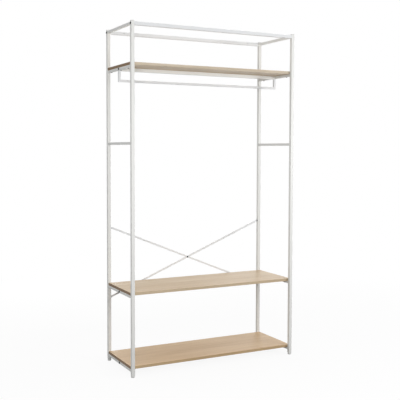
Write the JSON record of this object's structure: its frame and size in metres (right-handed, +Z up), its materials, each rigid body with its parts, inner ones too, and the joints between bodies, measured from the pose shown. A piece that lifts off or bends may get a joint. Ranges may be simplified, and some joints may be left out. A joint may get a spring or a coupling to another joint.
{
  "type": "open frame wardrobe",
  "caption": "Free-standing open wardrobe: square-tube steel frame with wooden shelves, a hanging rail under the upper shelf and a cross brace at the back.",
  "frame": {"origin": "on the floor under the middle of the frame", "axes": "+Z up, +X to the right seen from the front, +Y to the back"},
  "size_m": [1.0048, 0.372, 1.85],
  "materials": {
    "white_powder_coat": "satin white powder coat",
    "oak_board": "light oak veneer, matt",
    "black_fastener": "black zinc",
    "zinc_plug": "bright zinc",
    "white_plastic": "moulded white plastic"
  },
  "bodies": {
    "frame": {"left_front_post": "white_powder_coat", "left_rear_post": "white_powder_coat", "right_front_post": "white_powder_coat", "right_rear_post": "white_powder_coat", "left_top_rail": "white_powder_coat", "left_waist_rail": "white_powder_coat", "left_upper_shelf_rail": "white_powder_coat", "left_middle_shelf_rail": "white_powder_coat", "left_bottom_shelf_rail": "white_powder_coat", "right_top_rail": "white_powder_coat", "right_waist_rail": "white_powder_coat", "right_upper_shelf_rail": "white_powder_coat", "right_middle_shelf_rail": "white_powder_coat", "right_bottom_shelf_rail": "white_powder_coat", "front_top_rail": "white_powder_coat", "rear_top_rail": "white_powder_coat", "upper_shelf_beam": "white_powder_coat", "middle_shelf_beam": "white_powder_coat", "bottom_shelf_beam": "white_powder_coat", "upper_shelf": "oak_board", "middle_shelf": "oak_board", "bottom_shelf": "oak_board", "hanging_bar": "white_powder_coat", "left_hanging_drop": "white_powder_coat", "right_hanging_drop": "white_powder_coat", "falling_brace": "white_powder_coat", "rising_brace": "white_powder_coat", "top_rail_bolts": "black_fastener", "beam_bolts": "black_fastener", "shelf_screws": "black_fastener", "hanging_screws": "black_fastener", "brace_centre_bolt": "black_fastener", "brace_centre_nut": "black_fastener", "brace_end_screws": "black_fastener", "top_rail_plugs": "zinc_plug", "beam_plugs": "zinc_plug", "hanging_plugs": "zinc_plug", "post_caps": "white_plastic", "foot_inserts": "white_plastic"},
    "left front foot": {"left_front_foot": "white_plastic"},
    "left rear foot": {"left_rear_foot": "white_plastic"},
    "right front foot": {"right_front_foot": "white_plastic"},
    "right rear foot": {"right_rear_foot": "white_plastic"}
  },
  "joints": [
    {"name": "left_front_foot_screw", "type": "slide", "parent": "frame", "child": "left front foot", "axis": [0, 0, -1], "range_m": [0, 0.01]},
    {"name": "left_rear_foot_screw", "type": "slide", "parent": "frame", "child": "left rear foot", "axis": [0, 0, -1], "range_m": [0, 0.01]},
    {"name": "right_front_foot_screw", "type": "slide", "parent": "frame", "child": "right front foot", "axis": [0, 0, -1], "range_m": [0, 0.01]},
    {"name": "right_rear_foot_screw", "type": "slide", "parent": "frame", "child": "right rear foot", "axis": [0, 0, -1], "range_m": [0, 0.01]}
  ]
}
